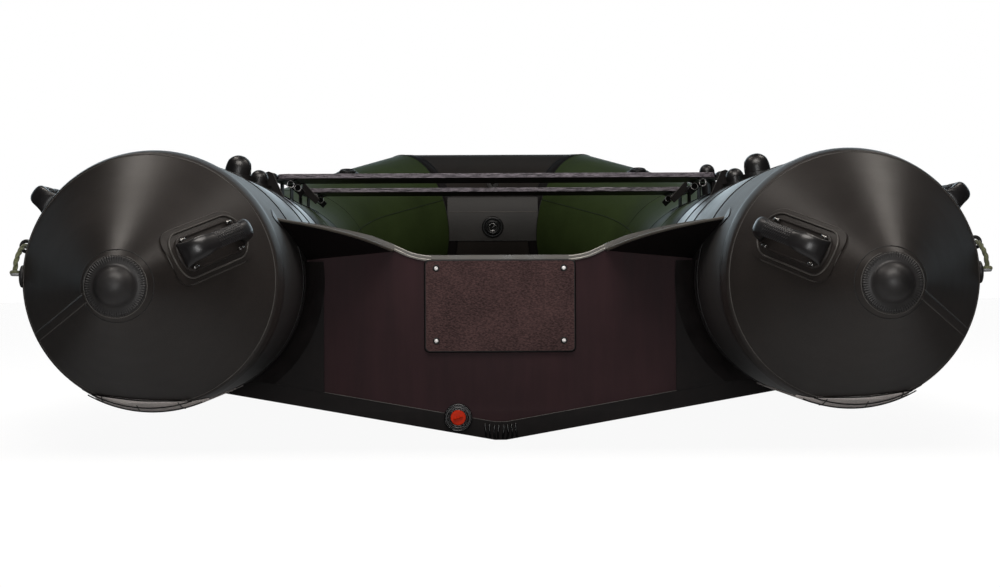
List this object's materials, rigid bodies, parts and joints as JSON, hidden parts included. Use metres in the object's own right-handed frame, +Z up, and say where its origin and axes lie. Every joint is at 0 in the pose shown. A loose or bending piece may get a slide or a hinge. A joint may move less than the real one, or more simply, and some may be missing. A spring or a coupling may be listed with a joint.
{
  "type": "inflatable motor boat",
  "caption": "Inflatable boat with pointed stern cones, raised bow, plywood transom, V air floor, sliding benches and turning oarlocks.",
  "frame": {"origin": "on the empty boat's waterline, in its middle plane, at the transom's aft face", "axes": "+Y to the bow, +X to starboard, +Z up"},
  "size_m": [1.8224, 3.7411, 0.8083],
  "materials": {
    "pvc_black": "coated fabric, satin, taut and smooth",
    "pvc_green": "coated fabric, satin, dark green",
    "pvc_grey": "coated fabric, dark grey patch",
    "pvc_floor": "coated fabric, black, ribbed",
    "pvc_strip": "extra layer of coated fabric, worn grey",
    "rubber": "moulded black rubber, satin",
    "valve": "moulded black plastic",
    "plywood": "film faced plywood, dark maroon brown, satin",
    "bench_board": "film faced plywood, very dark, with a lighter worn edge",
    "bench_channel": "moulded black plastic",
    "motor_plate": "pebbled plastic, brown",
    "edge_trim": "rubber edge trim, warm grey",
    "plug": "orange red plastic",
    "steel": "welded steel ring on a rubber base",
    "rope": "braided olive rope"
  },
  "bodies": {
    "hull": {"stern_tube_port": "pvc_black", "stern_tube_starboard": "pvc_black", "stern_cone_port": "pvc_black", "stern_cone_starboard": "pvc_black", "bow_center": "pvc_black", "handle_patches": "pvc_black", "transom_gusset_port": "pvc_black", "transom_gusset_starboard": "pvc_black", "side_tube_port": "pvc_green", "side_tube_starboard": "pvc_green", "bow_quarter_port": "pvc_green", "bow_quarter_starboard": "pvc_green", "bow_inner_patch": "pvc_grey", "air_floor": "pvc_floor", "bow_bottom": "pvc_floor", "keel_strip": "pvc_strip", "wear_strips": "pvc_strip", "cone_caps": "rubber", "transom_band": "rubber", "transom_holder_port": "rubber", "transom_holder_starboard": "rubber", "bench_rail_port": "rubber", "bench_rail_starboard": "rubber", "oarlock_base_port": "rubber", "oarlock_base_starboard": "rubber", "accessory_mount_port": "rubber", "accessory_mount_starboard": "rubber", "rod_fitting_starboard": "rubber", "stern_handle_port": "rubber", "stern_handle_starboard": "rubber", "side_handle_port": "rubber", "side_handle_starboard": "rubber", "bow_handle": "rubber", "inner_ring": "rubber", "rub_rail_port": "rubber", "rub_rail_starboard": "rubber", "line_eyes_port": "rubber", "line_eyes_starboard": "rubber", "bow_valve_port": "valve", "bow_valve_starboard": "valve", "inner_valve": "valve", "drain_valve": "valve", "transom_board": "plywood", "motor_plate_outer": "motor_plate", "motor_plate_inner": "motor_plate", "transom_trim": "edge_trim", "drain_plug": "plug", "tow_ring": "steel", "grab_line_port": "rope", "grab_line_starboard": "rope"},
    "bench_aft": {"bench_aft_board": "bench_board", "bench_aft_channels": "bench_channel"},
    "bench_fore": {"bench_fore_board": "bench_board", "bench_fore_channels": "bench_channel"},
    "oarlock_port_turner": {"oarlock_head_port": "rubber"},
    "oarlock_starboard_turner": {"oarlock_head_starboard": "rubber"}
  },
  "joints": [
    {"name": "bench_aft_slide", "type": "slide", "parent": "hull", "child": "bench_aft", "axis": [0, 1, 0], "range_m": [-0.06, 0.22]},
    {"name": "bench_fore_slide", "type": "slide", "parent": "hull", "child": "bench_fore", "axis": [0, 1, 0], "range_m": [-0.18, 0.065]},
    {"name": "oarlock_port_turn", "type": "hinge", "parent": "hull", "child": "oarlock_port_turner", "pos_m": [-0.59975, 0.3, 0.51614], "axis": [0.1994, 0, 0.9799], "continuous": true},
    {"name": "oarlock_starboard_turn", "type": "hinge", "parent": "hull", "child": "oarlock_starboard_turner", "pos_m": [0.59975, 0.3, 0.51614], "axis": [-0.1994, 0, 0.9799], "continuous": true}
  ]
}
